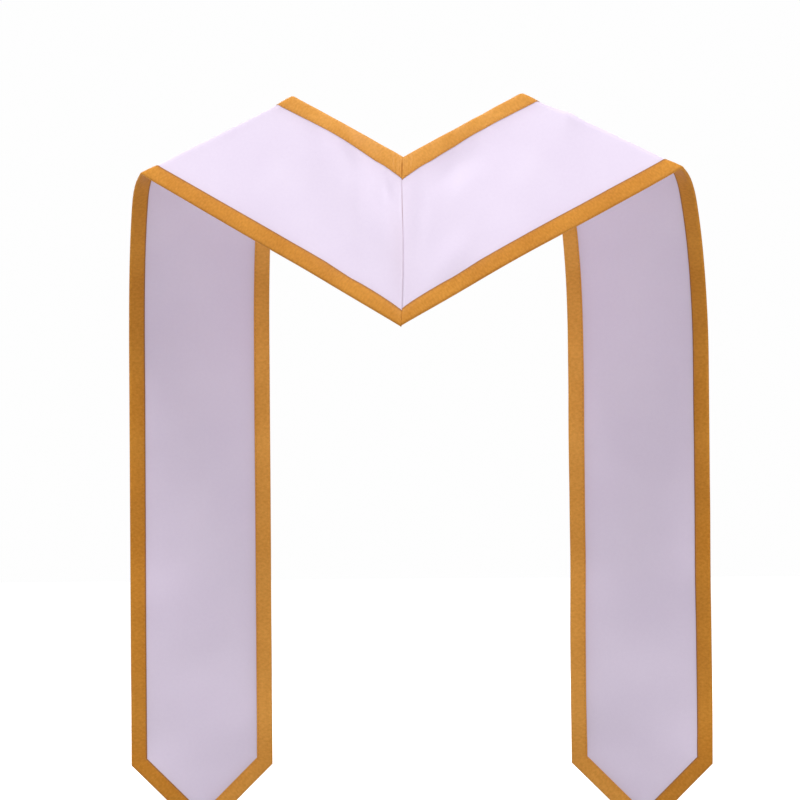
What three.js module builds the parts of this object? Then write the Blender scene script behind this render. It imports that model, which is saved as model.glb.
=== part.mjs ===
// Graduation stole, kept in the form it has when worn: a flat V on the upper back, a crisp fold over each
// shoulder, and two bands that hang down the front to a point.
//
// Millimetres, +Z up. The wearer faces -Y, so the V of the back is on the +Y side and the wearer's left
// is +X. The origin is midway between the two points where the neck edge crosses the shoulders.
//
// Each half is cut flat, as on the real thing, and then folded. A point of the flat strip has s along the
// strip, t across it from the neck edge to the outer edge, and h outward, away from the wearer.
import * as THREE from 'three';
import { mergeVertices } from 'three/addons/utils/BufferGeometryUtils.js';

// Driving dimensions
const BAND_WIDTH = 108;
const HALF_LENGTH = 762; // from the back seam to the front point, along the middle of the band
const POINT_DEPTH = 54; // how far the front point hangs below its two corners
const CLOTH = 1.2; // two layers of satin with an interlining, sewn together
const BINDING_WALL = 1; // one side of the folded binding
const BINDING_ROUND = 0.8; // the binding's rounded outer edge
const GAP = 0.3; // clearance between pieces that are sewn together

// How the back lies: angles in degrees, and the top of the back seam
const SEAM_LEAN = 23.8; // the seam leans forward at its top
const HALF_TURN = 18.7; // each half turns forward from the seam
const MITRE = 37.6; // the cut of the seam against a square end of the strip
const SEAM_TOP_BEHIND = 58;
const SEAM_TOP_BELOW = 50.1;

// Folds of one half, in order. start is the distance from the back seam along the middle of the band, slant
// is the angle of the fold line against a square end of the strip, and radius is that of the cloth's middle.
const FOLDS = [
  { name: 'shoulder', start: 184.4, slant: 33.8, angle: 70.9, radius: 5.5 },
  { name: 'collarbone', start: 207, slant: 27.5, angle: 35.7, radius: 57 },
  { name: 'chest', start: 264.8, slant: 13.9, angle: 42.6, radius: 180 },
];

// Cross-sections of one half. at is the distance from the back seam along the middle of the band, bow is how
// far the middle stands out from the two edges, and the last two are the widths of the two bindings.
const SECTIONS = [
  { at: 0, bow: 3.5, neckBinding: 15.2, outerBinding: 10.8 },
  { at: 16, bow: 3.5, neckBinding: 14.4, outerBinding: 11.3 },
  { at: 33, bow: 3.5, neckBinding: 13.3, outerBinding: 11.5 },
  { at: 60, bow: 3.4, neckBinding: 11.9, outerBinding: 11.8 },
  { at: 100, bow: 3.2, neckBinding: 11.4, outerBinding: 12.1 },
  { at: 180, bow: 0.5, neckBinding: 11.5, outerBinding: 12.1 },
  { at: 300, bow: 1, neckBinding: 11.8, outerBinding: 12 },
  { at: 420, bow: 3, neckBinding: 12, outerBinding: 12 },
  { at: HALF_LENGTH, bow: 4, neckBinding: 12, outerBinding: 12 },
];

// Fineness of the faceted solids
const FLAT_STEP = 45;
const FOLD_STEP = 8; // degrees
const COLUMNS = 8; // across the band, even so that one line of corners runs down the middle
const END_STEPS = 3; // along each side of the front point

const SATIN = { color: 0xf1e4f8, roughness: 0.5, metalness: 0 };
const GOLD_SATIN = { color: 0xdd9a46, roughness: 0.45, metalness: 0 };

const { clamp, degToRad, lerp } = THREE.MathUtils;

// The back of the left half: the strip runs along `along`, `across` goes from neck edge to outer edge,
// and `outward` is the normal that faces away from the wearer.
function backFrame() {
  const lean = degToRad(SEAM_LEAN);
  const turn = degToRad(HALF_TURN);
  const mitre = degToRad(MITRE);
  const downSeam = new THREE.Vector3(0, Math.sin(lean), -Math.cos(lean));
  const sideways = new THREE.Vector3(
    Math.cos(turn),
    -Math.sin(turn) * Math.cos(lean),
    -Math.sin(turn) * Math.sin(lean),
  );
  const along = sideways.clone().multiplyScalar(Math.cos(mitre)).addScaledVector(downSeam, -Math.sin(mitre));
  const across = sideways.clone().multiplyScalar(Math.sin(mitre)).addScaledVector(downSeam, Math.cos(mitre));
  return { along, across, outward: along.clone().cross(across) };
}

const BACK = backFrame();
const MIDDLE = BAND_WIDTH / 2;

// s on the middle line where the back seam crosses it, and s of the front point
const SEAM_MIDDLE_S = -MIDDLE * Math.tan(degToRad(MITRE));
const POINT_S = SEAM_MIDDLE_S + HALF_LENGTH;
const POINT_SLOPE = POINT_DEPTH / MIDDLE;

// The length of a fold's curved stretch, measured along the strip
function foldLength(fold) {
  return (fold.radius * degToRad(fold.angle)) / Math.cos(degToRad(fold.slant));
}

// Bends one point of the strip round one fold
function bend(point, fold) {
  const slant = degToRad(fold.slant);
  const angle = degToRad(fold.angle);
  const curved = fold.radius * angle;
  const fromS = point.s - (SEAM_MIDDLE_S + fold.start);
  const fromT = point.t - MIDDLE;
  const past = fromS * Math.cos(slant) - fromT * Math.sin(slant);
  if (past <= 0) {
    return point;
  }
  const side = fromS * Math.sin(slant) + fromT * Math.cos(slant);
  const turned = Math.min(past, curved) / fold.radius;
  const straight = Math.max(past - curved, 0);
  const reach = fold.radius + point.h;
  const forward = reach * Math.sin(turned) + straight * Math.cos(turned);
  return {
    s: SEAM_MIDDLE_S + fold.start + side * Math.sin(slant) + forward * Math.cos(slant),
    t: MIDDLE + side * Math.cos(slant) - forward * Math.sin(slant),
    h: reach * Math.cos(turned) - fold.radius - straight * Math.sin(turned),
  };
}

// A point of the flat strip at its worn place, measured from the top of the back seam. The last fold is made
// first, while the rest is still flat.
function wornPlace(s, t, h) {
  const folded = FOLDS.reduceRight(bend, { s, t, h });
  return new THREE.Vector3()
    .addScaledVector(BACK.along, folded.s)
    .addScaledVector(BACK.across, folded.t)
    .addScaledVector(BACK.outward, folded.h);
}

// One column of the table of cross-sections at a distance from the back seam
function sectionValue(at, column) {
  const next = clamp(SECTIONS.findIndex((row) => row.at >= at), 1, SECTIONS.length - 1);
  const low = SECTIONS[next - 1];
  const high = SECTIONS[next];
  const share = clamp((at - low.at) / (high.at - low.at), 0, 1);
  return lerp(low[column], high[column], share);
}

// How far the cloth's mid-surface stands out at t
function bowAt(at, t) {
  const fromMiddle = (t - MIDDLE) / MIDDLE;
  return sectionValue(at, 'bow') * (1 - fromMiddle * fromMiddle);
}

// s of the seam's cut face, a plane just beside the middle of the back
function seamS(t, h) {
  return (GAP / 2 - t * BACK.across.x - h * BACK.outward.x) / BACK.along.x;
}

// s of the pointed front end, moved in square to its sloping edge by inset
function endS(t, inset) {
  return POINT_S - Math.abs(t - MIDDLE) * POINT_SLOPE - inset * Math.hypot(1, POINT_SLOPE);
}

// Lines across the strip at which it is given corners. The first is the seam's cut face, and the slant of
// the others follows the folds.
function stationLines() {
  const marks = [{ at: 0, slant: -MITRE, steps: 0 }];
  const addMark = (at, slant, steps) => marks.push({ at, slant, steps });
  for (const fold of FOLDS) {
    const flat = fold.start - marks[marks.length - 1].at;
    addMark(fold.start, fold.slant, Math.ceil(flat / FLAT_STEP));
    addMark(fold.start + foldLength(fold), fold.slant, Math.ceil(fold.angle / FOLD_STEP));
  }
  const lastFlat = HALF_LENGTH - POINT_DEPTH - FLAT_STEP;
  addMark(lastFlat, 0, Math.ceil((lastFlat - marks[marks.length - 1].at) / FLAT_STEP));

  const lines = [{ at: 0, sAt: seamS }];
  for (let mark = 1; mark < marks.length; mark += 1) {
    for (let step = 1; step <= marks[mark].steps; step += 1) {
      const share = step / marks[mark].steps;
      const at = lerp(marks[mark - 1].at, marks[mark].at, share);
      const slope = Math.tan(degToRad(lerp(marks[mark - 1].slant, marks[mark].slant, share)));
      lines.push({ at, sAt: (t) => SEAM_MIDDLE_S + at + (t - MIDDLE) * slope });
    }
  }
  return lines;
}

const LINES = stationLines();

// One ring of corners on a station line
function ringOnLine(line, places) {
  return places.map(({ t, h }) => {
    const outward = h + bowAt(line.at, t);
    return wornPlace(line.sAt(t, outward), t, outward);
  });
}

// A closed body through rings of equal size, with both ends capped. The corners of each ring and of the
// outline run from t towards h.
function bodyThroughRings(rings, outline, mirrored) {
  const size = outline.length;
  const triangles = [];
  for (let ring = 0; ring < rings.length - 1; ring += 1) {
    for (let corner = 0; corner < size; corner += 1) {
      const here = ring * size + corner;
      const beside = ring * size + ((corner + 1) % size);
      triangles.push([here, beside, beside + size], [here, beside + size, here + size]);
    }
  }
  const lastRing = (rings.length - 1) * size;
  for (const [a, b, c] of THREE.ShapeUtils.triangulateShape(outline, [])) {
    triangles.push([a, c, b], [lastRing + a, lastRing + b, lastRing + c]);
  }
  const positions = rings.flat().flatMap((p) => [mirrored ? -p.x : p.x, p.y, p.z]);
  const ordered = mirrored ? triangles.map(([a, b, c]) => [a, c, b]) : triangles;
  const geometry = new THREE.BufferGeometry();
  geometry.setAttribute('position', new THREE.Float32BufferAttribute(positions, 3));
  geometry.setIndex(ordered.flat());
  const welded = mergeVertices(geometry);
  welded.computeVertexNormals();
  return welded;
}

// The satin band of one half: a plate whose four edges lie inside the bindings
function bandGeometry(mirrored) {
  const inset = BINDING_WALL + GAP;
  const columns = Array.from({ length: COLUMNS + 1 }, (_, i) => lerp(inset, BAND_WIDTH - inset, i / COLUMNS));
  const under = columns.map((t) => ({ t, h: -CLOTH / 2 }));
  const over = columns.map((t) => ({ t, h: CLOTH / 2 })).reverse();
  const places = [...under, ...over];
  const rings = LINES.map((line) => ringOnLine(line, places));
  rings.push(places.map(({ t, h }) => wornPlace(endS(t, inset), t, h + bowAt(HALF_LENGTH, t))));
  const outline = places.map(({ t, h }) => new THREE.Vector2(t, h + bowAt(0, t)));
  return bodyThroughRings(rings, outline, mirrored);
}

// The section of a folded binding that wraps an edge: inward is the distance from the edge of the strip
function bindingSection(width) {
  const inner = CLOTH / 2 + GAP;
  const outer = inner + BINDING_WALL;
  return [
    { inward: width, h: -outer },
    { inward: width, h: -inner },
    { inward: BINDING_WALL, h: -inner },
    { inward: BINDING_WALL, h: inner },
    { inward: width, h: inner },
    { inward: width, h: outer },
    { inward: BINDING_ROUND, h: outer },
    { inward: 0, h: outer - BINDING_ROUND },
    { inward: 0, h: BINDING_ROUND - outer },
    { inward: BINDING_ROUND, h: -outer },
  ];
}

// A binding of one half: along its long edge, round the corner and down one side of the front point
function bindingGeometry(edge, mirrored) {
  const onNeckEdge = edge === 'neckBinding';
  const acrossAt = (inward) => (onNeckEdge ? inward : BAND_WIDTH - inward);
  const sectionAt = (at) => {
    const section = bindingSection(sectionValue(at, edge));
    return onNeckEdge ? section : section.reverse();
  };
  const rings = LINES.map((line) => (
    ringOnLine(line, sectionAt(line.at).map(({ inward, h }) => ({ t: acrossAt(inward), h })))
  ));
  const section = sectionAt(HALF_LENGTH);
  const pointT = acrossAt(MIDDLE - GAP / 2);
  for (let step = 0; step <= END_STEPS; step += 1) {
    rings.push(section.map(({ inward, h }) => {
      const t = lerp(acrossAt(inward), pointT, step / END_STEPS);
      return wornPlace(endS(t, inward), t, h + bowAt(HALF_LENGTH, t));
    }));
  }
  const outline = section.map(({ inward, h }) => new THREE.Vector2(acrossAt(inward), h));
  return bodyThroughRings(rings, outline, mirrored);
}

// Both halves hang from the top of the back seam
const halves = new THREE.Group();
halves.position.set(0, SEAM_TOP_BEHIND, -SEAM_TOP_BELOW);

function addPiece(name, geometry, look) {
  const mesh = new THREE.Mesh(geometry, new THREE.MeshStandardMaterial(look));
  mesh.name = name;
  halves.add(mesh);
}

for (const side of ['left', 'right']) {
  const mirrored = side === 'right';
  addPiece(`${side}_band`, bandGeometry(mirrored), SATIN);
  addPiece(`${side}_neck_binding`, bindingGeometry('neckBinding', mirrored), GOLD_SATIN);
  addPiece(`${side}_outer_binding`, bindingGeometry('outerBinding', mirrored), GOLD_SATIN);
}

const stole = new THREE.Group();
stole.add(halves);

export default stole;
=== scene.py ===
# %% [markdown]
# # A graduation stole in satin
#
# A stole is a long band of satin that lies flat on the upper back, folds over both shoulders and hangs down
# the front. This one has a V at the back, where two lilac-white halves meet in one seam, and a gold binding
# that is folded over every edge. The lesson builds it as a tailor would: it draws the flat pattern, lays it
# over the shoulders by a few named folds, and then gives each cloth its weave, sheen and stitches.
#
# The first step loads the fixed model. Everything made here sits in its frame: metres, Z up, the back of
# the stole towards +Y and its left half towards +X.

# %% Load the fixed model and keep its size
from math import ceil, cos, hypot, pi, radians, sin, tan

import bpy
import numpy as np
from mathutils import Matrix, Vector


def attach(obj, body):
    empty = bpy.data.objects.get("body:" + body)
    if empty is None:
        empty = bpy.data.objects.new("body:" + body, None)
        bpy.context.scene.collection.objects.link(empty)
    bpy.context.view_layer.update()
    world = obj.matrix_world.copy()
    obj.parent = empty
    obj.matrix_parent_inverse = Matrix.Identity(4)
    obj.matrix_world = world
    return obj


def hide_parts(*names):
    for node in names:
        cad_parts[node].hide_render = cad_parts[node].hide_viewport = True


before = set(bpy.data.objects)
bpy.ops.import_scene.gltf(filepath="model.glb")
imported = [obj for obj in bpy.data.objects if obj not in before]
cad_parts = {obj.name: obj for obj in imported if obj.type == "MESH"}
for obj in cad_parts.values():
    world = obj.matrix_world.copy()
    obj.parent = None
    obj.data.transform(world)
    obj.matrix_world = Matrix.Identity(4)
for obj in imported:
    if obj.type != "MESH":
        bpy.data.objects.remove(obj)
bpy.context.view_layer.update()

MM = 0.001


def add_object(name, data):
    thing = bpy.data.objects.new(name, data)
    bpy.context.scene.collection.objects.link(thing)
    return thing


# %% [markdown]
# ## The camera
#
# The picture is taken from behind, with a long lens and almost level, so that the V is seen nearly flat and
# both shoulder folds are sharp outlines. A camera could be tied to the object with a constraint, but a
# plain matrix is easier to read: it holds the camera's right, up and backward directions as columns. The
# camera stands 2.5 metres away, a little to one side, and tilts by half a degree as a hand-held one does.

# %% Place the camera behind the V
CAMERA_DISTANCE = 2.5
CAMERA_LENS = 157.4  # millimetres
SENSOR_WIDTH = 36  # millimetres
CAMERA_AIM = Vector((3.2, 68.6, -225.5)) * MM
CAMERA_TURN = radians(3.44)  # towards the left half
CAMERA_RISE = radians(1.67)  # looks up by this much
CAMERA_ROLL = radians(-0.46)


def add_camera():
    look = Vector((
        sin(CAMERA_TURN) * cos(CAMERA_RISE),
        -cos(CAMERA_TURN) * cos(CAMERA_RISE),
        sin(CAMERA_RISE),
    ))
    level_right = Vector((-cos(CAMERA_TURN), -sin(CAMERA_TURN), 0))
    level_up = level_right.cross(look)
    right = cos(CAMERA_ROLL) * level_right + sin(CAMERA_ROLL) * level_up
    up = cos(CAMERA_ROLL) * level_up - sin(CAMERA_ROLL) * level_right
    camera = add_object("studio_camera", bpy.data.cameras.new("studio_camera"))
    camera.data.lens = CAMERA_LENS
    camera.data.sensor_width = SENSOR_WIDTH
    camera.matrix_world = Matrix.Translation(CAMERA_AIM - look * CAMERA_DISTANCE) @ Matrix(
        (right, up, -look)
    ).transposed().to_4x4()
    bpy.context.scene.camera = camera
    return camera


print("camera at", [round(v, 3) for v in add_camera().location])

# %% [markdown]
# ## The flat pattern and its folds
#
# Each half of the stole is a straight strip, cut at a slant for the back seam and to a point at the front.
# Cloth hardly stretches, so the honest way to shape it is to bend the flat strip round folds that keep
# every length. A cloth simulation would do it too, but it would need something to fall on, and it would
# give a new shape on each change. Three named folds are enough: a crisp one over the shoulder, a wider one
# over the collarbone and a slow one on the chest. A point of the strip has s along it, t across it from the
# neck edge, and h outward.

# %% Measures of the flat strip
BAND_WIDTH = 108 * MM
HALF_LENGTH = 762 * MM  # from the back seam to the front point, along the middle
POINT_DEPTH = 54 * MM
MIDDLE = BAND_WIDTH / 2
SEAM_LEAN = radians(23.8)
HALF_TURN = radians(18.7)
MITRE = radians(37.6)
SEAM_TOP = np.array((0, 58, -50.1)) * MM
SEAM_MIDDLE_S = -MIDDLE * tan(MITRE)
POINT_S = SEAM_MIDDLE_S + HALF_LENGTH
POINT_SLOPE = POINT_DEPTH / MIDDLE

# name, start along the middle, slant of the fold line, angle, radius
FOLDS = [
    ("shoulder", 184.4 * MM, radians(33.8), radians(70.9), 5.5 * MM),
    ("collarbone", 207.0 * MM, radians(27.5), radians(35.7), 57 * MM),
    ("chest", 264.8 * MM, radians(13.9), radians(42.6), 180 * MM),
]


def back_directions():
    """Along the strip, across it and outward, where it lies on the left side of the back."""
    down_seam = np.array((0, sin(SEAM_LEAN), -cos(SEAM_LEAN)))
    sideways = np.array((
        cos(HALF_TURN),
        -sin(HALF_TURN) * cos(SEAM_LEAN),
        -sin(HALF_TURN) * sin(SEAM_LEAN),
    ))
    along = cos(MITRE) * sideways - sin(MITRE) * down_seam
    across = sin(MITRE) * sideways + cos(MITRE) * down_seam
    return along, across, np.cross(along, across)


ALONG, ACROSS, OUTWARD = back_directions()
print("the strip climbs towards the shoulder along", ALONG.round(3))

# %% [markdown]
# A fold line may be slanted. The strip before the line stays as it is, a short stretch rolls round a
# cylinder, and the rest goes on straight. The last fold is made first, while everything before it is still
# flat, which is also how one folds a paper strip. The functions take whole arrays, so that a band with
# thousands of corners is placed at once.

# %% Bend the strip and lay it on the shoulders
# towards the shoulder the outer edge of the right half lies a little lower
DROP_AT, DROP_REACH, DROP = 250 * MM, 85 * MM, 1.6 * MM


def hill(x, reach):
    """1 at x = 0, falling away on both sides."""
    return np.exp(-((x / reach) ** 2))


def fade(x, reach):
    """1 up to x = 0, falling away beyond."""
    return np.exp(-np.maximum(x, 0) / reach)


def bend(s, t, h, fold):
    _, start, slant, angle, radius = fold
    from_s, from_t = s - (SEAM_MIDDLE_S + start), t - MIDDLE
    past = from_s * cos(slant) - from_t * sin(slant)
    side = from_s * sin(slant) + from_t * cos(slant)
    turned = np.clip(past / radius, 0, angle)
    straight = np.maximum(past - radius * angle, 0)
    reach = radius + h
    forward = reach * np.sin(turned) + straight * np.cos(turned)
    height = reach * np.cos(turned) - radius - straight * np.sin(turned)
    flat = past <= 0
    forward = np.where(flat, past, forward)
    return (
        SEAM_MIDDLE_S + start + side * sin(slant) + forward * cos(slant),
        MIDDLE + side * cos(slant) - forward * sin(slant),
        np.where(flat, h, height),
    )


def worn_place(s, t, h, mirrored):
    if mirrored:
        from_seam = s + t * tan(MITRE)
        t = t + DROP * (t / BAND_WIDTH) ** 2 * hill(from_seam - DROP_AT, DROP_REACH)
    for fold in reversed(FOLDS):
        s, t, h = bend(s, t, h, fold)
    place = SEAM_TOP + s[..., None] * ALONG + t[..., None] * ACROSS + h[..., None] * OUTWARD
    return place * (-1, 1, 1) if mirrored else place


first_half = np.linspace(0, HALF_LENGTH / 2, 500)
for edge_name, edge_t in (("neck edge", 0.0), ("outer edge", BAND_WIDTH)):
    heights = worn_place(first_half, np.full_like(first_half, edge_t), 0 * first_half, False)[:, 2]
    print(edge_name, "is highest at", round(heights.max() / MM, 1), "mm")

# %% [markdown]
# ## Lines across the strip
#
# The strip gets its corners on lines across it. At the back seam a line has the slant of the seam, and at
# each fold the slant of that fold, so that a bend never cuts across a face. Between those the slant changes
# evenly. Short tables give the bow across the band and the widths of the two bindings. They follow the
# fixed model, with a flatter back and small changes of width. The neck binding is wider where its two ends
# meet at the back.

# %% Cross-sections and lines
# distance from the back seam, bow
BOWS = np.array([(0, 2.2), (60, 2.2), (100, 2.2), (180, 0.5), (300, 1), (420, 3), (762, 4)]) * MM
# distance from the back seam, width of the binding
BINDING_WIDTHS = {
    "neck": np.array([
        (0, 14.9), (5, 14.3), (12, 13.6), (24, 13.0), (38, 13.1), (54, 12.4), (71, 11.8), (87, 11.1),
        (104, 10.7), (136, 10.9), (152, 11.1), (180, 11.5), (300, 11.8), (420, 12.1), (600, 11.8),
        (762, 12),
    ]) * MM,
    "outer": np.array([
        (0, 10.3), (6, 10.9), (14, 11.5), (21, 11.8), (29, 11.9), (37, 11.6), (46, 12.1), (55, 12.6),
        (72, 12.5), (80, 12.4), (110, 12.6), (150, 12.5), (184, 12.2), (300, 12), (420, 12.2),
        (600, 11.9), (762, 12),
    ]) * MM,
}
SEAM_GAP = 0.05 * MM
LINE_STEP = 2.6 * MM
POINT_MARGIN = 20 * MM  # the lines end this far above the corners of the point
# extra lines where the cloth rolls into the seam and the ribbon is creased
SEAM_LINES = np.array((
    0.3, 0.7, 1.1, 1.6, 2.2, 2.8, 3.4, 4.0, 4.7, 5.4, 6.1, 6.8, 7.5, 8.3, 9.2, 10.4,
)) * MM
FOLD_ANGLE_STEP = radians(4)


def across_from(edge, inward):
    """Turns a distance from the folded edge into a place across the band, and back."""
    return inward if edge == "neck" else BAND_WIDTH - inward


def from_table(at, table):
    return np.interp(at, table[:, 0], table[:, 1])


def cross_lines():
    """Distance from the seam and slant of each line, from the seam to just above the front point."""
    marks = [(SEAM_LINES[-1], -MITRE)]
    ats, slants = [np.zeros(1), SEAM_LINES], [np.full(1 + len(SEAM_LINES), -MITRE)]

    def go_to(at, slant, steps):
        ats.append(np.linspace(marks[-1][0], at, steps + 1)[1:])
        slants.append(np.linspace(marks[-1][1], slant, steps + 1)[1:])
        marks.append((at, slant))

    for _, start, slant, angle, radius in FOLDS:
        length = radius * angle / cos(slant)
        go_to(start, slant, ceil((start - marks[-1][0]) / LINE_STEP))
        go_to(start + length, slant, ceil(max(angle / FOLD_ANGLE_STEP, length / LINE_STEP)))
    last = HALF_LENGTH - POINT_DEPTH - POINT_MARGIN
    go_to(last, 0.0, ceil((last - marks[-1][0]) / LINE_STEP))
    return np.concatenate(ats), np.concatenate(slants)


LINE_AT, LINE_SLANT = cross_lines()
print(len(LINE_AT), "lines across each half")

# %% [markdown]
# ## The small life of the cloth
#
# A folded strip alone looks like bent card. Real satin has slow waves of less than a millimetre, soft
# puckers where the binding pulls at it, and broad soft folds where it doesn't quite lie down. These could
# be sculpted or simulated. Short tables are steadier, repeat exactly, and let the band and its bindings
# move together, because each piece asks the same function how far the cloth stands out at a place.

# %% Waves, puckers and soft folds
# wave length along the band, wave length across it, height, and shift
WAVES = [
    (0.260, 0.210, 0.36 * MM, 0.4),
    (0.140, -0.150, 0.26 * MM, 2.1),
    (0.071, 0.190, 0.11 * MM, 4.0),
    (0.043, -0.090, 0.03 * MM, 1.2),
]
WAVE_SHIFTS = {"left": 0, "right": 1.7}  # so that the halves differ
QUIET_REACH = 25 * MM  # the waves die down near the back seam
HANGING_FROM, HANGING_EASE = 330 * MM, 150 * MM  # past here the band hangs free and its waves get deeper
HANGING_DEPTH = 3.6
PUCKER_HEIGHT, PUCKER_LENGTH = 0.45 * MM, 27 * MM
PUCKER_FROM, PUCKER_REACH = 8 * MM, 16 * MM  # how far the puckers run in from the neck edge
PUCKER_CENTRES, PUCKER_SPREAD = {"left": 45 * MM, "right": 62 * MM}, 34 * MM
SWELL_HEIGHT, SWELL_AT, SWELL_REACH = 3.0 * MM, 98 * MM, 40 * MM  # lifts the outer edge on the back
SEAM_PULL, SEAM_PULL_REACH = 0.7 * MM, 11 * MM  # the cloth sinks towards the seam
# distance from the seam, distance from the neck edge, reach along, reach across, height
SOFT_FOLDS = {
    "left": [
        (48, 10, 9, 11, 2.0), (74, 21, 24, 28, 2.4), (112, 30, 18, 18, 0.7), (40, 44, 9, 24, 0.9),
        (16, 56, 14, 16, 0.9), (14, 28, 4, 6, -0.6),
    ],
    "right": [
        (50, 26, 22, 11, -1.7), (46, 85, 16, 12, 1.6), (17, 46, 6, 22, -0.6), (117, 57, 14, 14, 0.5),
        (158, 30, 12, 18, 1.7),
    ],
}


def wave_height(at, s, t, side):
    hanging = np.clip((at - HANGING_FROM) / HANGING_EASE, 0, 1)
    depth = 1 + (HANGING_DEPTH - 1) * hanging
    return depth * sum(
        height * np.sin(2 * pi * (s / long + t / wide) + shift + WAVE_SHIFTS[side])
        for long, wide, height, shift in WAVES
    )


def pucker_height(from_seam, t, side):
    place = fade(t - PUCKER_FROM, PUCKER_REACH) * hill(from_seam - PUCKER_CENTRES[side], PUCKER_SPREAD)
    return PUCKER_HEIGHT * place * np.sin(2 * pi * from_seam / PUCKER_LENGTH)


def soft_fold_height(from_seam, t, side):
    return sum(
        height * MM * hill(from_seam / MM - along, reach) * hill(t / MM - across, wide)
        for along, across, reach, wide, height in SOFT_FOLDS[side]
    )


print("waves up to", round(HANGING_DEPTH * sum(w[2] for w in WAVES) / MM, 1), "mm on the hanging bands")

# %% How far the cloth stands out
def bow_height(at, t):
    from_middle = (t - MIDDLE) / MIDDLE
    return from_table(at, BOWS) * (1 - from_middle**2)


def cloth_height(at, s, t, mirrored):
    """How far the middle of the cloth stands out at a place of the flat strip."""
    side = "right" if mirrored else "left"
    from_seam = s + t * tan(MITRE)
    waves = wave_height(at, s, t, side) * (1 - hill(from_seam, QUIET_REACH))
    swell = SWELL_HEIGHT * (t / BAND_WIDTH) ** 2 * hill(from_seam - SWELL_AT, SWELL_REACH)
    folds = pucker_height(from_seam, t, side) + soft_fold_height(from_seam, t, side)
    return bow_height(at, t) + waves + swell + folds - SEAM_PULL * fade(from_seam, SEAM_PULL_REACH)


print("the band bows out by", round(BOWS[0, 1] / MM, 1), "mm on the back")

# %% [markdown]
# The back seam wanders by a millimetre, as one sewn by eye does. Both halves cut their ends on the same
# smooth curve, or they would come apart. The pointed front ends are plain slopes.

# %% The wandering seam and the pointed ends
# distance from the neck edge, how far the seam strays towards the left
SEAM_PATH = np.array([
    (-6, 0.2), (0, 0.4), (15, 0.9), (41, -0.6), (70, -1.05), (95, -1.15), (108, -0.5), (114, -0.3),
]) * MM
SEAM_CURVE = np.polyfit(SEAM_PATH[:, 0] / BAND_WIDTH, SEAM_PATH[:, 1], deg=4)


def seam_x(t):
    """Where the back seam runs sideways. Both halves follow it."""
    return np.polyval(SEAM_CURVE, t / BAND_WIDTH)


def seam_s(t, h, mirrored, pulled_back=0.0):
    """s of the cut edge at the back seam."""
    x = SEAM_GAP / 2 + pulled_back + seam_x(t) * (-1 if mirrored else 1)
    return (x - t * ACROSS[0] - h * OUTWARD[0]) / ALONG[0]


def distance_from_seam(s, t, h, mirrored):
    """Square to the back seam, on the flat strip."""
    return (s - seam_s(t, h, mirrored)) * cos(MITRE)


def end_s(t, inset):
    """s of the pointed front end, moved in square to its sloping edge."""
    return POINT_S - np.abs(t - MIDDLE) * POINT_SLOPE - inset * hypot(1, POINT_SLOPE)


strays = seam_x(np.linspace(0, BAND_WIDTH, 50)) / MM
print("the seam strays from", strays.min().round(1), "to", strays.max().round(1), "mm")

# %% [markdown]
# ## From rings of corners to a closed cloth
#
# Every piece here is a sweep: the same ring of corners is repeated on line after line, and the two ends are
# closed. Blender could extrude a profile along a curve, but then the flat pattern would be lost. Built by
# hand, each corner keeps its place on the flat cloth in a UV map, so that the weave runs with the strip
# round every fold. A second value, stored on the corners, says how shaded a place is.

# %% A sweep with its flat pattern
def shown_piece(name, mesh):
    mesh.shade_smooth()
    mesh.validate()
    return add_object(name, mesh)


def face_corners(values, ring, corner, beside):
    """The values, given ring by ring, at the four corners of each wall face."""
    return np.stack(
        (values[ring, corner], values[ring, beside], values[ring + 1, beside], values[ring + 1, corner]), -1
    )


def swept_piece(name, rings, along, around, seam_shade):
    """rings holds the corners ring by ring. along and around are their places on the flat cloth."""
    count, size = rings.shape[:2]
    ring, corner = np.meshgrid(np.arange(count - 1), np.arange(size), indexing="ij")
    beside = (corner + 1) % size
    walls = face_corners(np.arange(count * size).reshape(count, size), ring, corner, beside).reshape(-1, 4)
    start = list(range(size - 1, -1, -1))
    end = list(range((count - 1) * size, count * size))
    mesh = bpy.data.meshes.new(name)
    mesh.from_pydata(rings.reshape(-1, 3).tolist(), [], walls.tolist() + [start, end])

    last_step = np.abs(around[:, 1:2] - around[:, :1])
    around_open = np.concatenate((around, around[:, -1:] + last_step), axis=1)
    wall_along = face_corners(along, ring, corner, beside)
    wall_around = face_corners(around_open, ring, corner, corner + 1)
    flat = [np.stack((wall_along, wall_around), -1).reshape(-1, 2)]
    flat.append(np.stack((along[0, start], around[0, start]), -1))
    flat.append(np.stack((along[-1], around[-1]), -1))
    layer = mesh.uv_layers.new(name="flat_pattern")
    layer.uv.foreach_set("vector", np.concatenate(flat).astype(np.float32).ravel())
    shade = mesh.attributes.new("seam_shade", "FLOAT", "POINT")
    shade.data.foreach_set("value", seam_shade.astype(np.float32).ravel())
    return shown_piece(name, mesh)


def face_outward(piece):
    """For a sweep that came out inside out, as a mirrored one does."""
    piece.data.flip_normals()
    return piece


print("sweeps are closed and have a UV map of the flat cloth")

# %% [markdown]
# ## The satin bands
#
# Each band is two layers of satin with an interlining, a little over a millimetre thick in all. Its long
# edges and its point lie hidden inside the bindings. At the back the two halves are sewn right sides
# together and pressed open, so each rolls down into a fine groove. The groove needs lines much closer
# together than the rest of the band, and under the bindings the edge is trimmed back, as a tailor does to
# keep a mitre thin.

# %% Corners on the lines
CLOTH = 1.2 * MM
BAND_INSET = 1.3 * MM
SEAM_ROLL, SEAM_ROLL_REACH = 0.6 * MM, 0.75 * MM
WANDER_REACH = 20 * MM  # the cut of the seam fades out of the lines over this distance
TRIMMED_BACK, TRIM_RAMP = 1.8 * MM, 1 * MM
HIDDEN_MARGIN = 1.4 * MM  # the trimming stops this far inside the binding


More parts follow.
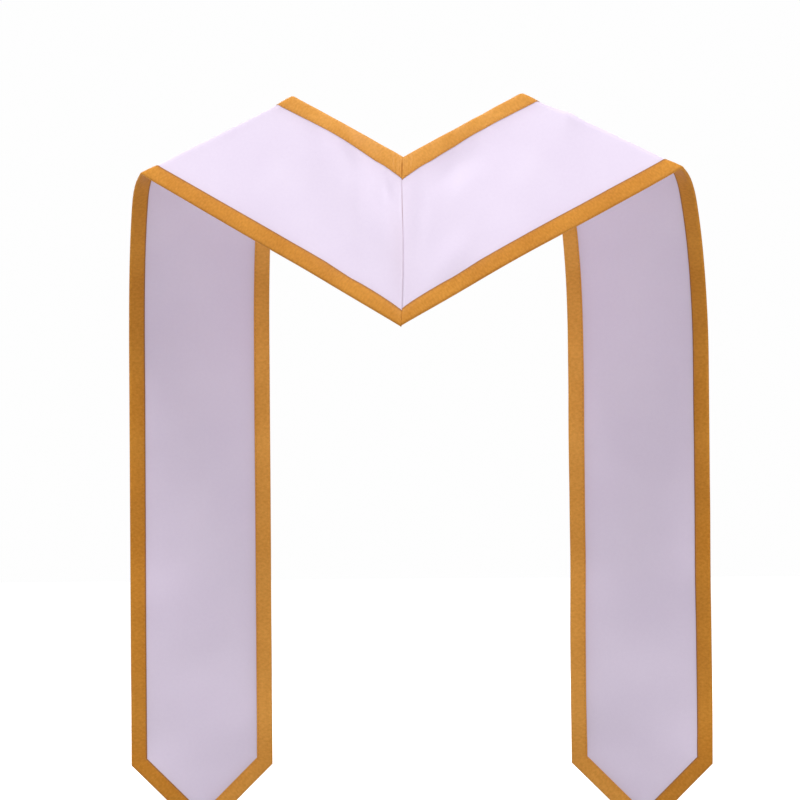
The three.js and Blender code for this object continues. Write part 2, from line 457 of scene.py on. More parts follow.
def line_s(at, slant, t, h, mirrored, pulled_back):
    straight = SEAM_MIDDLE_S + at + (t - MIDDLE) * np.tan(slant)
    cut = seam_s(t, h, mirrored, pulled_back) + t * tan(MITRE)
    return straight + cut * fade(at, WANDER_REACH)


def place_on_lines(at, slant, t, h, mirrored, pulled_back):
    """Flat s and standing height of corners on the lines, with the waves and the rolled seam."""
    rough_s = line_s(at, slant, t, h, mirrored, pulled_back)
    height = h + cloth_height(at, rough_s, t, mirrored)
    s = line_s(at, slant, t, height, mirrored, pulled_back)
    return s, height - SEAM_ROLL * fade(distance_from_seam(s, t, height, mirrored), SEAM_ROLL_REACH)


def trimmed_under_bindings(t):
    covered = {edge: from_table(0, widths) - HIDDEN_MARGIN for edge, widths in BINDING_WIDTHS.items()}
    under_neck = np.clip((covered["neck"] - t) / TRIM_RAMP, 0, 1)
    under_outer = np.clip((t - BAND_WIDTH + covered["outer"]) / TRIM_RAMP, 0, 1)
    return TRIMMED_BACK * np.maximum(under_neck, under_outer)


print("the cloth rolls down by", round(SEAM_ROLL / MM, 1), "mm at the seam")

# %% [markdown]
# White satin shows a seam by its shade: a fine dark line where the halves meet, and a soft tint beside it
# and beside each binding. Light alone gives only part of that, so the shade is stored on the corners.

# %% Where the satin is shaded
# the dark seam line and its darker gape are painted shade
SEAM_LINE = 0.28 * MM  # width of the dark line at the seam
SEAM_OPEN_AT, SEAM_OPEN_REACH = 33 * MM, 10 * MM  # here the seam gapes a little and looks darker
SEAM_CLOSED_SHADE = 0.45  # of the closed seam, against 1 where it gapes
SEAM_SHADOW_REACH = 10 * MM
# distance from the neck edge, how shaded the cloth beside the seam is
SEAM_SHADOWS = {
    "left": np.array([(0, 0.02), (36, 0.03), (50, 0.14), (70, 0.14), (90, 0.07), (108, 0.02)]) * (MM, 1),
    "right": np.array([(0, 0.05), (40, 0.06), (60, 0.05), (108, 0.04)]) * (MM, 1),
}
# how shaded the cloth is right beside each binding, and how far that reaches
BINDING_SHADES = {"neck": (0.22, 4.2 * MM), "outer": (0.11, 2.4 * MM)}


def shade_beside_bindings(s, t):
    """Next to the inner edge of each binding, along the band and round its point."""
    at = np.concatenate((LINE_AT, np.full(len(s) - len(LINE_AT), HALF_LENGTH)))[:, None]
    from_point = (end_s(t, 0.0) - s) / hypot(1, POINT_SLOPE)
    shade = np.zeros(s.shape)
    for edge, (depth, reach) in BINDING_SHADES.items():
        inward = across_from(edge, t)
        inward = np.where(inward < MIDDLE, np.minimum(inward, from_point), inward)
        shade = np.maximum(shade, depth * fade(inward - from_table(at, BINDING_WIDTHS[edge]), reach))
    return shade


def band_shade(s, t, height, mirrored):
    from_seam = distance_from_seam(s, t, height, mirrored)
    gape = SEAM_CLOSED_SHADE + (1 - SEAM_CLOSED_SHADE) * hill(t - SEAM_OPEN_AT, SEAM_OPEN_REACH)
    beside_seam = from_table(t, SEAM_SHADOWS["right" if mirrored else "left"])
    return np.maximum.reduce((
        gape * fade(from_seam, SEAM_LINE),
        beside_seam * hill(from_seam, SEAM_SHADOW_REACH),
        shade_beside_bindings(s, t),
    ))


print("shade beside the bindings", BINDING_SHADES)

# %% The two bands
# from, to and number of columns across the band, closer together where the bindings end
COLUMN_RUNS = [
    (BAND_INSET, 9 * MM, 3), (9 * MM, 21 * MM, 12), (21 * MM, 90 * MM, 27), (90 * MM, 99 * MM, 9),
    (99 * MM, BAND_WIDTH - BAND_INSET, 3),
]


def add_band(name, mirrored):
    runs = [np.linspace(start, end, count, endpoint=False) for start, end, count in COLUMN_RUNS]
    columns = np.concatenate((*runs, [COLUMN_RUNS[-1][1]]))
    t = np.concatenate((columns, columns[::-1]))[None, :]
    h = np.repeat((-CLOTH / 2, CLOTH / 2), len(columns))[None, :]
    at, slant = LINE_AT[:, None], LINE_SLANT[:, None]
    s, height = place_on_lines(at, slant, t, h, mirrored, trimmed_under_bindings(t))

    point_steps = ceil((POINT_DEPTH + POINT_MARGIN) / LINE_STEP)
    share = np.linspace(0, 1, point_steps + 1)[1:, None]
    point_s = s[-1:] + (end_s(t, BAND_INSET) - s[-1:]) * share
    point_height = h + cloth_height(point_s - SEAM_MIDDLE_S, point_s, t, mirrored)
    s, height = np.concatenate((s, point_s)), np.concatenate((height, point_height))

    t = np.broadcast_to(t, s.shape)
    place = worn_place(s, t, height, mirrored)
    band = swept_piece(name, place, s, t, band_shade(s, t, height, mirrored))
    return face_outward(band) if mirrored else band


bands = {side: add_band(f"{side}_band_satin", side == "right") for side in ("left", "right")}
print("each band has", len(bands["left"].data.polygons), "faces")

# %% [markdown]
# ## The gold bindings
#
# A binding is a ribbon folded in half over the edge and stitched down through both sides. Its section is a
# letter C: two soft walls, round at the fold, flat and a little sunk where the stitches pull it down. At
# the back the two neck bindings don't quite close, which leaves a dark slit. The section could be made by a
# Solidify modifier, but that can't sink the stitch line or round only one side.

# %% The section of a folded binding
BINDING_INNER = 0.70 * MM  # half of the slot that holds the band
SLOT_FROM = 1.25 * MM  # from the folded edge to the bottom of the slot
STITCH_FROM_EDGE = 1.1 * MM
FOLD_DEPTH = 1.5 * MM  # of the round part at the folded edge

# place across as a share of the width, added distance from the fold, height of the outer side
WALL = np.array([
    (1, 0, 0.88 * MM),
    (1, -0.35 * MM, 1.00 * MM),
    (1, -STITCH_FROM_EDGE, 0.98 * MM),
    (1, -1.9 * MM, 1.14 * MM),
    (0.75, 0, 1.34 * MM),
    (0.5, 0, 1.50 * MM),
    (0.25, 0, 1.58 * MM),
    (0, FOLD_DEPTH, 1.58 * MM),
])
STITCHED_ROW = 2  # of the table above
FOLD_ROUND_STEPS = 7


def binding_section(width):
    """Distance from the folded edge and height of each corner, for each of the given widths."""
    width = np.asarray(width)[:, None]
    wall_in = WALL[:, 0] * width + WALL[:, 1]
    wall_h = np.broadcast_to(WALL[:, 2], wall_in.shape)
    turn = np.linspace(0, pi, FOLD_ROUND_STEPS + 2)[1:-1]
    fold_in = np.broadcast_to(FOLD_DEPTH * (1 - np.sin(turn)), (len(width), len(turn)))
    fold_h = np.broadcast_to(WALL[-1, 2] * np.cos(turn), fold_in.shape)
    slot_bottom = np.full_like(width, SLOT_FROM)
    slot_in = np.concatenate((width, slot_bottom, slot_bottom, width), axis=1)
    slot_h = np.broadcast_to(np.array((-1, -1, 1, 1)) * BINDING_INNER, slot_in.shape)
    inward = np.concatenate((slot_in, wall_in, fold_in, wall_in[:, ::-1]), axis=1)
    height = np.concatenate((slot_h, wall_h, fold_h, -wall_h[:, ::-1]), axis=1)
    return inward, height


print("the section of a binding has", binding_section([10 * MM])[0].shape[1], "corners")

# %% [markdown]
# Near the back seam the outer wall of the neck binding is drawn back to open the slit, and faint creases
# run beside it, where the ribbon was pressed. Both only move corners that are there already. A Boolean cut
# would leave ragged faces.

# %% The slit and the pressed creases at the back
SLIT_HALF_WIDTH = 0.5 * MM
SLIT_FROM, SLIT_TO = 3 * MM, 16 * MM  # distances from the neck edge between which the slit is open
SLIT_LEAN = 0.8  # below 1 it is widest nearer to the neck edge
# distance from the seam, height
PRESSED_CREASES = [
    (2.6 * MM, -0.26 * MM), (4.0 * MM, 0.16 * MM), (5.8 * MM, -0.24 * MM), (7.4 * MM, 0.12 * MM),
]
CREASE_WIDTH = 0.75 * MM
CREASE_FADE = 2.5 * MM  # the creases fade out this close to the inner edge


def slit_opening(edge, inward, h):
    share = np.clip((inward - SLIT_FROM) / (SLIT_TO - SLIT_FROM), 0, 1)
    return SLIT_HALF_WIDTH * np.sin(pi * share**SLIT_LEAN) * (h > 0) * (edge == "neck")


def crease_height(edge, inward, h, from_seam):
    from_inner_edge = from_table(LINE_AT, BINDING_WIDTHS[edge])[:, None] - inward
    pressed = np.clip(from_inner_edge / CREASE_FADE, 0, 1) * np.sign(h) * (edge == "neck")
    return pressed * sum(
        crease * hill(from_seam - distance, CREASE_WIDTH) for distance, crease in PRESSED_CREASES
    )


print("the slit opens to", round(2 * SLIT_HALF_WIDTH / MM, 1), "mm")

# %% [markdown]
# The ribbon follows its edge from the seam to the corner of the point and then down the slope to the tip.
# The two runs share one rule: the distance from the folded edge is measured square to the edge, and on the
# mitre both agree.

# %% The run round the point
POINT_RUN_STEPS = 32
MITRE_DIP = 0.18 * MM


def point_run(edge, mirrored, last_s):
    """s, t, height and length along the ribbon of the rings from the last line to the tip."""
    inward, h = (v[0] for v in binding_section([from_table(HALF_LENGTH, BINDING_WIDTHS[edge])]))
    corner_t = across_from(edge, inward)
    corner_s = end_s(corner_t, inward)
    tip_t = across_from(edge, MIDDLE - SEAM_GAP)
    edge_t = across_from(edge, 0.0)
    edge_s = end_s(edge_t, 0.0)
    rings = []
    for share in np.linspace(0, 1, ceil(POINT_MARGIN / LINE_STEP) + 1)[1:]:
        s = last_s + (corner_s - last_s) * share
        dip = MITRE_DIP * (share == 1)
        rings.append((s, corner_t, h - dip * np.sign(h), s))
    for share in np.linspace(0, 1, POINT_RUN_STEPS + 1)[1:]:
        t = corner_t + (tip_t - corner_t) * share
        s = end_s(t, inward)
        travelled = (np.abs(t - edge_t) + (s - edge_s) * POINT_SLOPE) / hypot(1, POINT_SLOPE)
        rings.append((s, t, h, edge_s + travelled))
    s, t, h, along = (np.array(part) for part in zip(*rings))
    return s, t, h + cloth_height(s - SEAM_MIDDLE_S, s, t, mirrored), along


print("the mitre dips by", round(MITRE_DIP / MM, 2), "mm")

# %% The four bindings
MITRE_SHADE = 0.25
# how dark the painted shade makes the slot and the inner edge of each binding, by corner of its section
EDGE_SHADES = {
    "neck": {0: 0.8, 1: 0.9, 2: 0.9, 3: 0.8, 4: 0.4, 5: 0.1, -2: 0.1, -1: 0.4},
    "outer": {0: 1, 1: 1, 2: 1, 3: 1, 4: 1, 5: 0.9, -2: 0.9, -1: 1},
}


def binding_shade(edge, inward, from_seam):
    """Painted shade: dark in the slit and along the inner edge, with a faint line at the mitre."""
    slit = np.zeros_like(from_seam)
    slit[: len(inward)] = slit_opening(edge, inward, np.ones_like(inward)) / SLIT_HALF_WIDTH
    shade = fade(from_seam, SEAM_LINE) * np.maximum(slit, MITRE_SHADE)
    for corner, dark in EDGE_SHADES[edge].items():
        shade[:, corner] = np.maximum(shade[:, corner], dark)
    return shade


def round_the_section(inward, h, ring_count):
    """Distance round the section from its first corner. The rings of the point repeat the last one."""
    steps = np.hypot(np.diff(inward, axis=1), np.diff(h, axis=1))
    around = np.concatenate((np.zeros((len(inward), 1)), np.cumsum(steps, axis=1)), axis=1)
    return np.concatenate((around, np.repeat(around[-1:], ring_count - len(around), axis=0)))


def add_binding(name, edge, mirrored):
    inward, h = binding_section(from_table(LINE_AT, BINDING_WIDTHS[edge]))
    t = across_from(edge, inward)
    opening = slit_opening(edge, inward, h)
    s, height = place_on_lines(LINE_AT[:, None], LINE_SLANT[:, None], t, h, mirrored, opening)
    height = height + crease_height(edge, inward, h, distance_from_seam(s, t, height, mirrored))
    point_s, point_t, point_height, point_along = point_run(edge, mirrored, s[-1])
    along = np.concatenate((s, point_along))
    s, t = np.concatenate((s, point_s)), np.concatenate((t, point_t))
    height = np.concatenate((height, point_height))
    around = round_the_section(inward, h, len(s))
    shade = binding_shade(edge, inward, distance_from_seam(s, t, height, mirrored))
    binding = swept_piece(name, worn_place(s, t, height, mirrored), along, around, shade)
    return face_outward(binding) if mirrored != (edge == "outer") else binding


bindings = {
    (side, edge): add_binding(f"{side}_{edge}_binding_ribbon", edge, side == "right")
    for side in ("left", "right")
    for edge in ("neck", "outer")
}
print("each binding has", len(bindings["left", "neck"].data.polygons), "faces")

# %% [markdown]
# ## The stitches
#
# A row of topstitching holds each binding down on both sides, about a millimetre from its inner edge. The
# thread has nearly the colour of the ribbon, so it shows as a fine broken line. A bump texture could draw
# it, but real stitches throw small shadows and stay sharp from close by. Each one is a short thread with
# thin ends that dive into the ribbon, and all the stitches of a binding are one mesh.

# %% The line of a row and the shape of a stitch
STITCH_LENGTH = 2.6 * MM
STITCH_PITCH = 3.2 * MM
FIRST_STITCH = 0.6  # of a pitch from the seam
FREE_STITCHES = 2  # the row stops short by this many
THREAD_RADIUS = 0.19 * MM
THREAD_RISE = 0.07 * MM  # of the middle of the thread above the ribbon
THREAD_SIDES = 6
LOOK_AHEAD = 0.1 * MM  # over this distance the direction is measured
POINT_LINE_STEPS = 30
# place along the stitch, share of the radius, sinking
THREAD_SHAPE = np.array([
    (0.0, 0.35, 0.22 * MM), (0.12, 0.8, 0.05 * MM), (0.5, 1.0, 0.0), (0.88, 0.8, 0.05 * MM),
    (1.0, 0.35, 0.22 * MM),
])


def stitch_line(edge, face, mirrored):
    """The line that the needle follows, on the flat strip, and its height."""
    widths = BINDING_WIDTHS[edge]
    h = face * WALL[STITCHED_ROW, 2]
    t = across_from(edge, from_table(LINE_AT, widths) - STITCH_FROM_EDGE)
    s, height = place_on_lines(LINE_AT, LINE_SLANT, t, np.full_like(t, h), mirrored, 0.0)
    end_inward = from_table(HALF_LENGTH, widths) - STITCH_FROM_EDGE
    point_t = np.linspace(across_from(edge, end_inward), MIDDLE, POINT_LINE_STEPS)
    point_s = end_s(point_t, end_inward)
    point_h = h + cloth_height(point_s - SEAM_MIDDLE_S, point_s, point_t, mirrored)
    return np.concatenate((s, point_s)), np.concatenate((t, point_t)), np.concatenate((height, point_h))


print("one stitch every", round(STITCH_PITCH / MM, 1), "mm")

# %% Rows of stitches
def stitch_row(edge, face, mirrored):
    """Corners of every stitch of one row: stitch, ring, side, xyz."""
    s, t, height = stitch_line(edge, face, mirrored)
    travelled = np.concatenate(([0.0], np.cumsum(np.hypot(np.diff(s), np.diff(t)))))
    count = int(travelled[-1] / STITCH_PITCH - FREE_STITCHES)
    begin = STITCH_PITCH * (FIRST_STITCH + np.arange(count))[:, None]
    at = begin + THREAD_SHAPE[:, 0] * STITCH_LENGTH
    middle_s, middle_t, middle_h = (np.interp(at, travelled, line) for line in (s, t, height))
    ahead_s, ahead_t = (np.interp(at + LOOK_AHEAD, travelled, line) for line in (s, t))
    length = np.hypot(ahead_s - middle_s, ahead_t - middle_t)
    side_s, side_t = -(ahead_t - middle_t) / length, (ahead_s - middle_s) / length
    turn = 2 * pi * np.arange(THREAD_SIDES) / THREAD_SIDES
    radius = THREAD_RADIUS * THREAD_SHAPE[:, 1][None, :, None]
    lift = face * (THREAD_RISE - THREAD_SHAPE[:, 2])[None, :, None]
    corner_s = middle_s[..., None] + side_s[..., None] * radius * np.cos(turn)
    corner_t = middle_t[..., None] + side_t[..., None] * radius * np.cos(turn)
    corner_h = middle_h[..., None] + lift + radius * np.sin(turn)
    return worn_place(corner_s, corner_t, corner_h, mirrored)


def add_stitches(name, edge, mirrored):
    corners = np.concatenate([stitch_row(edge, face, mirrored) for face in (1, -1)])
    stitches, rings, sides = corners.shape[:3]
    counts = np.arange(stitches), np.arange(rings - 1), np.arange(sides)
    stitch, ring, side = np.meshgrid(*counts, indexing="ij")
    first = (stitch * rings + ring) * sides
    beside = (side + 1) % sides
    walls = np.stack((first + side, first + beside, first + sides + beside, first + sides + side), -1)
    starts = np.arange(stitches)[:, None] * rings * sides + np.arange(sides)
    ends = starts[:, ::-1] + (rings - 1) * sides
    faces = walls.reshape(-1, 4).tolist() + starts.tolist() + ends.tolist()
    mesh = bpy.data.meshes.new(name)
    mesh.from_pydata(corners.reshape(-1, 3).tolist(), [], faces)
    piece = shown_piece(name, mesh)
    return piece if mirrored else face_outward(piece)


stitches = {
    (side, edge): add_stitches(f"{side}_{edge}_binding_stitches", edge, side == "right")
    for side, edge in bindings
}
print("stitch faces", {"_".join(key): len(piece.data.polygons) for key, piece in stitches.items()})

# %% [markdown]
# ## Effects that the finishes share
#
# Both satins have the same weave and the same kind of soft patches. Each effect is built once as a node
# group with named inputs, and each material places it with its own values. Satin is a weave whose warp
# floats over four threads and dips under the fifth. The dips move two threads sideways on each row, so they
# never line up, and the surface is smooth and shines. An image texture could show it, but nodes stay sharp
# at any size.

# %% Small helpers for materials
def new_material(name):
    material = bpy.data.materials.new(name)
    material.use_nodes = True
    return material, material.node_tree, material.node_tree.nodes["Principled BSDF"]


def set_inputs(node, values):
    for socket, value in values.items():
        node.inputs[socket].default_value = value


def new_group(name, inputs, outputs):
    group = bpy.data.node_groups.new(name, "ShaderNodeTree")
    for socket, kind, value in inputs:
        item = group.interface.new_socket(socket, in_out="INPUT", socket_type=kind)
        item.default_value = value
    for socket, kind in outputs:
        group.interface.new_socket(socket, in_out="OUTPUT", socket_type=kind)
    return group, group.nodes.new("NodeGroupInput"), group.nodes.new("NodeGroupOutput")


def calculate(tree, operation, *values):
    """One Math node. A value is a number or a socket."""
    node = tree.nodes.new("ShaderNodeMath")
    node.operation = operation
    for socket, value in zip(node.inputs, values):
        if isinstance(value, (int, float)):
            socket.default_value = value
        else:
            tree.links.new(value, socket)
    return node.outputs[0]


def mix_colours(tree, share, first, second):
    """One Mix node for colours. A value is a number, a colour or a socket."""
    node = tree.nodes.new("ShaderNodeMix")
    node.data_type = "RGBA"
    for socket, value in ((node.inputs[0], share), (node.inputs[6], first), (node.inputs[7], second)):
        if isinstance(value, (int, float, tuple)):
            socket.default_value = value
        else:
            tree.links.new(value, socket)
    return node.outputs[2]


def flat_pattern(tree):
    node = tree.nodes.new("ShaderNodeUVMap")
    node.uv_map = "flat_pattern"
    return node.outputs[0]


print("helpers ready")

# %% The satin weave
WEAVE_REPEAT = 5.0  # threads from one dip to the next
WEAVE_STEP = 2.0  # threads by which the dips move on each row


def half_wave(group, place):
    """Rises from 0 to 1 and falls back once over every thread."""
    share = calculate(group, "FRACT", place)
    return calculate(group, "SINE", calculate(group, "MULTIPLY", share, pi))


def build_satin_weave():
    group, given, result = new_group(
        "satin_weave",
        [("Warp per Metre", "NodeSocketFloat", 4000.0), ("Weft per Metre", "NodeSocketFloat", 2500.0)],
        [("Height", "NodeSocketFloat")],
    )
    parts = group.nodes.new("ShaderNodeSeparateXYZ")
    group.links.new(flat_pattern(group), parts.inputs[0])
    weft_place = calculate(group, "MULTIPLY", parts.outputs[0], given.outputs[1])
    warp_place = calculate(group, "MULTIPLY", parts.outputs[1], given.outputs[0])
    row = calculate(group, "FLOOR", weft_place)
    thread = calculate(group, "FLOOR", warp_place)
    moved = calculate(group, "SUBTRACT", row, calculate(group, "MULTIPLY", thread, WEAVE_STEP))
    step = calculate(group, "FLOORED_MODULO", moved, WEAVE_REPEAT)
    dips = calculate(group, "LESS_THAN", step, 0.5)
    dip = calculate(group, "MULTIPLY", dips, half_wave(group, weft_place))
    height = calculate(group, "SUBTRACT", half_wave(group, warp_place), dip)
    group.links.new(height, result.inputs[0])
    return group


SATIN_WEAVE = build_satin_weave()
print("the weave group has", len(SATIN_WEAVE.nodes), "nodes")

# %% [markdown]
# Dyed satin is never one flat colour. Broad soft patches come from pressing and handling, and a fine grain
# comes from the threads. Along the seams and the bindings, and in the slits, a painted shade darkens the
# colour towards a shade colour, and the value stored on the corners tells the group where that is.

# %% Tone and seam shade
BROAD_SCALE, BROAD_DETAIL = 14.0, 2.0  # patches of some centimetres
FINE_SCALE, FINE_DETAIL = 420.0, 3.0  # grain of a few millimetres
TONE_FROM, TONE_TO = 0.36, 0.64  # this range of the noise covers all tones


def noise(group, place, scale, detail):
    node = group.nodes.new("ShaderNodeTexNoise")
    set_inputs(node, {"Scale": scale, "Detail": detail})
    group.links.new(place, node.inputs["Vector"])
    return node.outputs[0]


def build_tone_and_painted_shade():
    group, given, result = new_group(
        "cloth_tone_and_painted_shade",
        [
            ("Lighter", "NodeSocketColor", (1, 1, 1, 1)),
            ("Deeper", "NodeSocketColor", (0.8, 0.8, 0.8, 1)),
            # colour of the painted shade at seams, slits and binding edges
            ("Seam", "NodeSocketColor", (0.4, 0.3, 0.3, 1)),
            ("Stretch", "NodeSocketVector", (1, 1, 1)),
            ("Fine Share", "NodeSocketFloat", 0.4),
            ("Painted Shade Strength", "NodeSocketFloat", 0.8),
        ],
        [("Colour", "NodeSocketColor"), ("Patches", "NodeSocketFloat")],
    )
    stretch = group.nodes.new("ShaderNodeVectorMath")
    stretch.operation = "MULTIPLY"
    group.links.new(flat_pattern(group), stretch.inputs[0])
    group.links.new(given.outputs["Stretch"], stretch.inputs[1])
    broad = noise(group, stretch.outputs[0], BROAD_SCALE, BROAD_DETAIL)
    fine = noise(group, stretch.outputs[0], FINE_SCALE, FINE_DETAIL)
    fine_share = given.outputs["Fine Share"]
    broad_part = calculate(group, "MULTIPLY", broad, calculate(group, "SUBTRACT", 1.0, fine_share))
    patches = calculate(group, "ADD", broad_part, calculate(group, "MULTIPLY", fine, fine_share))
    spread = group.nodes.new("ShaderNodeMapRange")
    set_inputs(spread, {"From Min": TONE_FROM, "From Max": TONE_TO})
    group.links.new(patches, spread.inputs["Value"])
    tone = mix_colours(group, spread.outputs[0], given.outputs["Deeper"], given.outputs["Lighter"])
    # painted shade: the colour darkens towards the shade colour where the stored value says so
    stored = group.nodes.new("ShaderNodeAttribute")
    stored.attribute_name = "seam_shade"
    mask = calculate(group, "MULTIPLY", stored.outputs["Fac"], given.outputs["Painted Shade Strength"])
    group.links.new(mix_colours(group, mask, tone, given.outputs["Seam"]), result.inputs[0])
    group.links.new(spread.outputs[0], result.inputs[1])
    return group


TONE_AND_PAINTED_SHADE = build_tone_and_painted_shade()
print("the tone group has", len(TONE_AND_PAINTED_SHADE.nodes), "nodes")

# %% [markdown]
# ## The satins and the thread
#
# The bands are a pale lilac white. The neck and outer bindings are one warm gold ribbon, but the outer copy
# of its colour is deeper than the neck copy: painted shade and painted light for how the light falls on them.
# The thread is deeper still. Satin could be drawn with a glossy shader of its own. The Principled shader is
# enough: a middling roughness gives the broad highlight, and a little sheen lights the folds where the
# threads are seen from the side.

# %% Materials
BUMP_STRENGTH = 0.5
SHEEN_ROUGHNESS = 0.45


def satin(
    name, colours, stretch, fine_share, painted_shade_strength, roughness, weave, weave_depth, sheen, specular
):
    """colours are the lighter, the deeper and the colour of the painted shade. weave counts warp and weft per
    metre.
    """
    material, tree, shader = new_material(name)
    tone = tree.nodes.new("ShaderNodeGroup")
    tone.node_tree = TONE_AND_PAINTED_SHADE
    set_inputs(tone, {socket: (*colour, 1) for socket, colour in zip(("Lighter", "Deeper", "Seam"), colours)})
    set_inputs(tone, {"Stretch": stretch, "Fine Share": fine_share, "Painted Shade Strength": painted_shade_strength})
    tree.links.new(tone.outputs["Colour"], shader.inputs["Base Color"])

    rough = tree.nodes.new("ShaderNodeMapRange")
    set_inputs(rough, {"To Min": roughness[0], "To Max": roughness[1]})
    tree.links.new(tone.outputs["Patches"], rough.inputs["Value"])
    tree.links.new(rough.outputs[0], shader.inputs["Roughness"])

    threads = tree.nodes.new("ShaderNodeGroup")
    threads.node_tree = SATIN_WEAVE
    set_inputs(threads, {"Warp per Metre": weave[0], "Weft per Metre": weave[1]})
    bump = tree.nodes.new("ShaderNodeBump")
    set_inputs(bump, {"Strength": BUMP_STRENGTH, "Distance": weave_depth})
    tree.links.new(threads.outputs["Height"], bump.inputs["Height"])
    tree.links.new(bump.outputs[0], shader.inputs["Normal"])
    set_inputs(shader, {"Sheen Weight": sheen, "Sheen Roughness": SHEEN_ROUGHNESS})
    set_inputs(shader, {"Specular IOR Level": specular})
    return material


BAND_SATIN = satin(
    "lilac_white_satin", [(0.905, 0.797, 0.972), (0.868, 0.757, 0.940), (0.42, 0.25, 0.28)],
    stretch=(1, 1, 1), fine_share=0.3, painted_shade_strength=0.88, roughness=(0.46, 0.52),
    weave=(4200.0, 2600.0), weave_depth=0.03 * MM, sheen=0.10, specular=0.35,
)
# one ribbon in two copies: the neck one painted lighter, the outer one painted deeper, for how the light
# falls on them. The third colour of each is its painted shade
RIBBON_COLOURS = {
    "neck": [(0.905, 0.413, 0.078), (0.722, 0.298, 0.042), (0.50, 0.19, 0.05)],
    "outer": [(0.766, 0.320, 0.038), (0.592, 0.219, 0.016), (0.32, 0.13, 0.04)],
}
RIBBON_SATIN = {
    edge: satin(
        f"gold_satin_{edge}", colours,
        stretch=(1.4, 0.9, 1), fine_share=0.50, painted_shade_strength=0.9, roughness=(0.42, 0.50),
        weave=(3600.0, 2400.0), weave_depth=0.04 * MM, sheen=0.02, specular=0.22,
    )
    for edge, colours in RIBBON_COLOURS.items()
}
print("materials", BAND_SATIN.name, [m.name for m in RIBBON_SATIN.values()])

# %% The thread
THREAD_COLOURS = (0.50, 0.175, 0.030, 1), (0.70, 0.29, 0.055, 1)
TWIST_SCALE, TWIST_DETAIL, TWIST_DEPTH = 2600.0, 1.0, 0.04 * MM


def thread_material():
    material, tree, shader = new_material("gold_thread")
    place = tree.nodes.new("ShaderNodeTexCoord")
    twist = noise(tree, place.outputs["Object"], TWIST_SCALE, TWIST_DETAIL)
    tree.links.new(mix_colours(tree, twist, *THREAD_COLOURS), shader.inputs["Base Color"])
    bump = tree.nodes.new("ShaderNodeBump")
    set_inputs(bump, {"Distance": TWIST_DEPTH})
    tree.links.new(twist, bump.inputs["Height"])
    tree.links.new(bump.outputs[0], shader.inputs["Normal"])
    set_inputs(shader, {"Roughness": 0.55})
    return material


THREAD = thread_material()
for piece in bands.values():
    piece.data.materials.append(BAND_SATIN)
for (side, edge), piece in bindings.items():
    piece.data.materials.append(RIBBON_SATIN[edge])
for piece in stitches.values():
    piece.data.materials.append(THREAD)
print("every piece has its finish")

# %% [markdown]
# ## Each piece in place of its part
#
# Each visible piece takes the place of one part of the fixed model, which is hidden, and hangs from the root
# body, as the stitches do. Each band is a strip as long as its longer cut edge, and each binding is a ribbon
# that is folded in half along its length.

for side, band in bands.items():
    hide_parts(f"{side}_band")
    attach(band, "root")
for (side, edge), binding in bindings.items():
    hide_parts(f"{side}_{edge}_binding")
    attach(binding, "root")
    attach(stitches[side, edge], "root")

# %% [markdown]
# ## Floor and light
#
# White satin on a white ground needs soft light from almost everywhere, or the cloth turns grey. A broad
# light from above and a little behind gives the folds a light side and a shaded side. A pale sky fills the
# shade, two weak panels behind and two small ones beside the shoulder folds brighten the back, and a large
# one lights the front. The floor is grey, so that it throws little light up, and glows for the camera
# alone. Hard lamps would show the weave better, but they would also burn out the pale bands.

# %% Floor
FLOOR_BELOW = -0.62
FLOOR_RADIUS = 12
FLOOR_SIDES = 96
FLOOR_TONE = 0.5  # how much light the floor throws back at the cloth
FLOOR_GLOW = 0.62  # for the camera alone, so that the floor is seen white


def add_floor():
    mesh = bpy.data.meshes.new("studio_floor")
    turn = 2 * pi * np.arange(FLOOR_SIDES) / FLOOR_SIDES
    rim = np.stack((np.cos(turn) * FLOOR_RADIUS, np.sin(turn) * FLOOR_RADIUS, 0 * turn + FLOOR_BELOW), -1)
    mesh.from_pydata(rim.tolist(), [], [list(range(FLOOR_SIDES))])
    floor = add_object("studio_floor", mesh)
    material, tree, shader = new_material("pale_floor")
    tone = (FLOOR_TONE, FLOOR_TONE, FLOOR_TONE, 1)
    set_inputs(shader, {"Base Color": tone, "Roughness": 0.9, "Specular IOR Level": 0.1})
    set_inputs(shader, {"Emission Color": (1, 1, 1, 1)})
    ray = tree.nodes.new("ShaderNodeLightPath")
    glow = calculate(tree, "MULTIPLY", ray.outputs["Is Camera Ray"], FLOOR_GLOW)
    tree.links.new(glow, shader.inputs["Emission Strength"])
    mesh.materials.append(material)
    return floor


print("floor at", round(add_floor().location.z + FLOOR_BELOW, 3), "m")

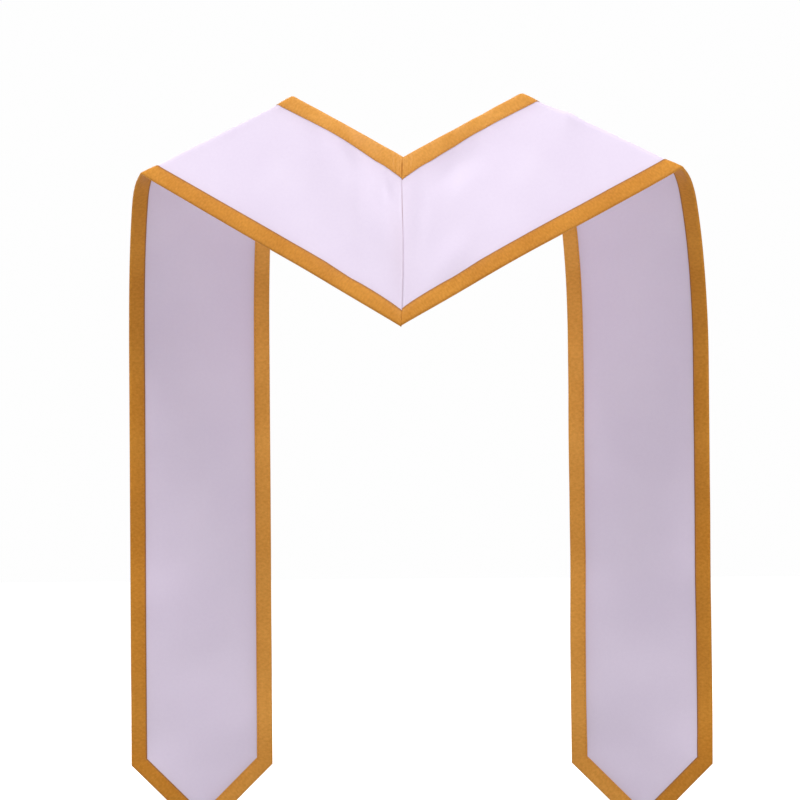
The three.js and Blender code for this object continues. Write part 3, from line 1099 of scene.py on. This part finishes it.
# %% Light
SKY_SEEN = 0.99
SKY_LIGHT = 0.30
OVERHEAD = 2.15  # strength of the light from above
OVERHEAD_FROM = (0.05, 0.2, 1.0)
OVERHEAD_SPREAD = radians(25)
# name, place, aims at, width and height, power in watts
PANELS = [
    ("behind_left", (1.7, 2.3, 1.9), (0, 0.05, -0.2), (1.2, 1.0), 6),
    ("behind_right", (-2.8, 2.0, 0.9), (0, 0.05, -0.2), (1.8, 1.6), 9),
    ("left_side", (0.78, 0.38, 0.22), (0.05, 0.03, -0.1), (0.5, 0.5), 1.4),
    ("right_side", (-0.78, 0.38, 0.22), (-0.05, 0.03, -0.1), (0.5, 0.5), 1.5),
    ("front_fill", (0.6, -3.4, 1.0), (0, -0.1, -0.3), (3.0, 2.2), 78),
]


def add_panel(name, place, aim, size, power):
    light = bpy.data.lights.new(name, "AREA")
    light.shape = "RECTANGLE"
    light.size, light.size_y = size
    light.energy = power
    panel = add_object(name, light)
    panel.location = place
    panel.rotation_euler = (Vector(aim) - Vector(place)).to_track_quat("-Z", "Y").to_euler()
    panel.visible_camera = False
    return panel


def add_sky():
    world = bpy.data.worlds.new("studio_sky")
    world.use_nodes = True
    tree = world.node_tree
    sky = tree.nodes["Background"]
    set_inputs(sky, {"Color": (1, 1, 1, 1)})
    ray = tree.nodes.new("ShaderNodeLightPath")
    seen = tree.nodes.new("ShaderNodeMapRange")
    set_inputs(seen, {"To Min": SKY_LIGHT, "To Max": SKY_SEEN})
    tree.links.new(ray.outputs["Is Camera Ray"], seen.inputs["Value"])
    tree.links.new(seen.outputs[0], sky.inputs["Strength"])
    bpy.context.scene.world = world


def add_overhead():
    light = bpy.data.lights.new("overhead", "SUN")
    light.energy = OVERHEAD
    light.angle = OVERHEAD_SPREAD
    lamp = add_object("overhead", light)
    lamp.rotation_euler = Vector(OVERHEAD_FROM).to_track_quat("Z", "Y").to_euler()


panels = [add_panel(*row) for row in PANELS]
add_overhead()
add_sky()
bpy.context.scene.view_settings.view_transform = "Standard"
bpy.context.scene.view_settings.look = "None"
print(len(panels), "panels, a light from above and a pale sky")
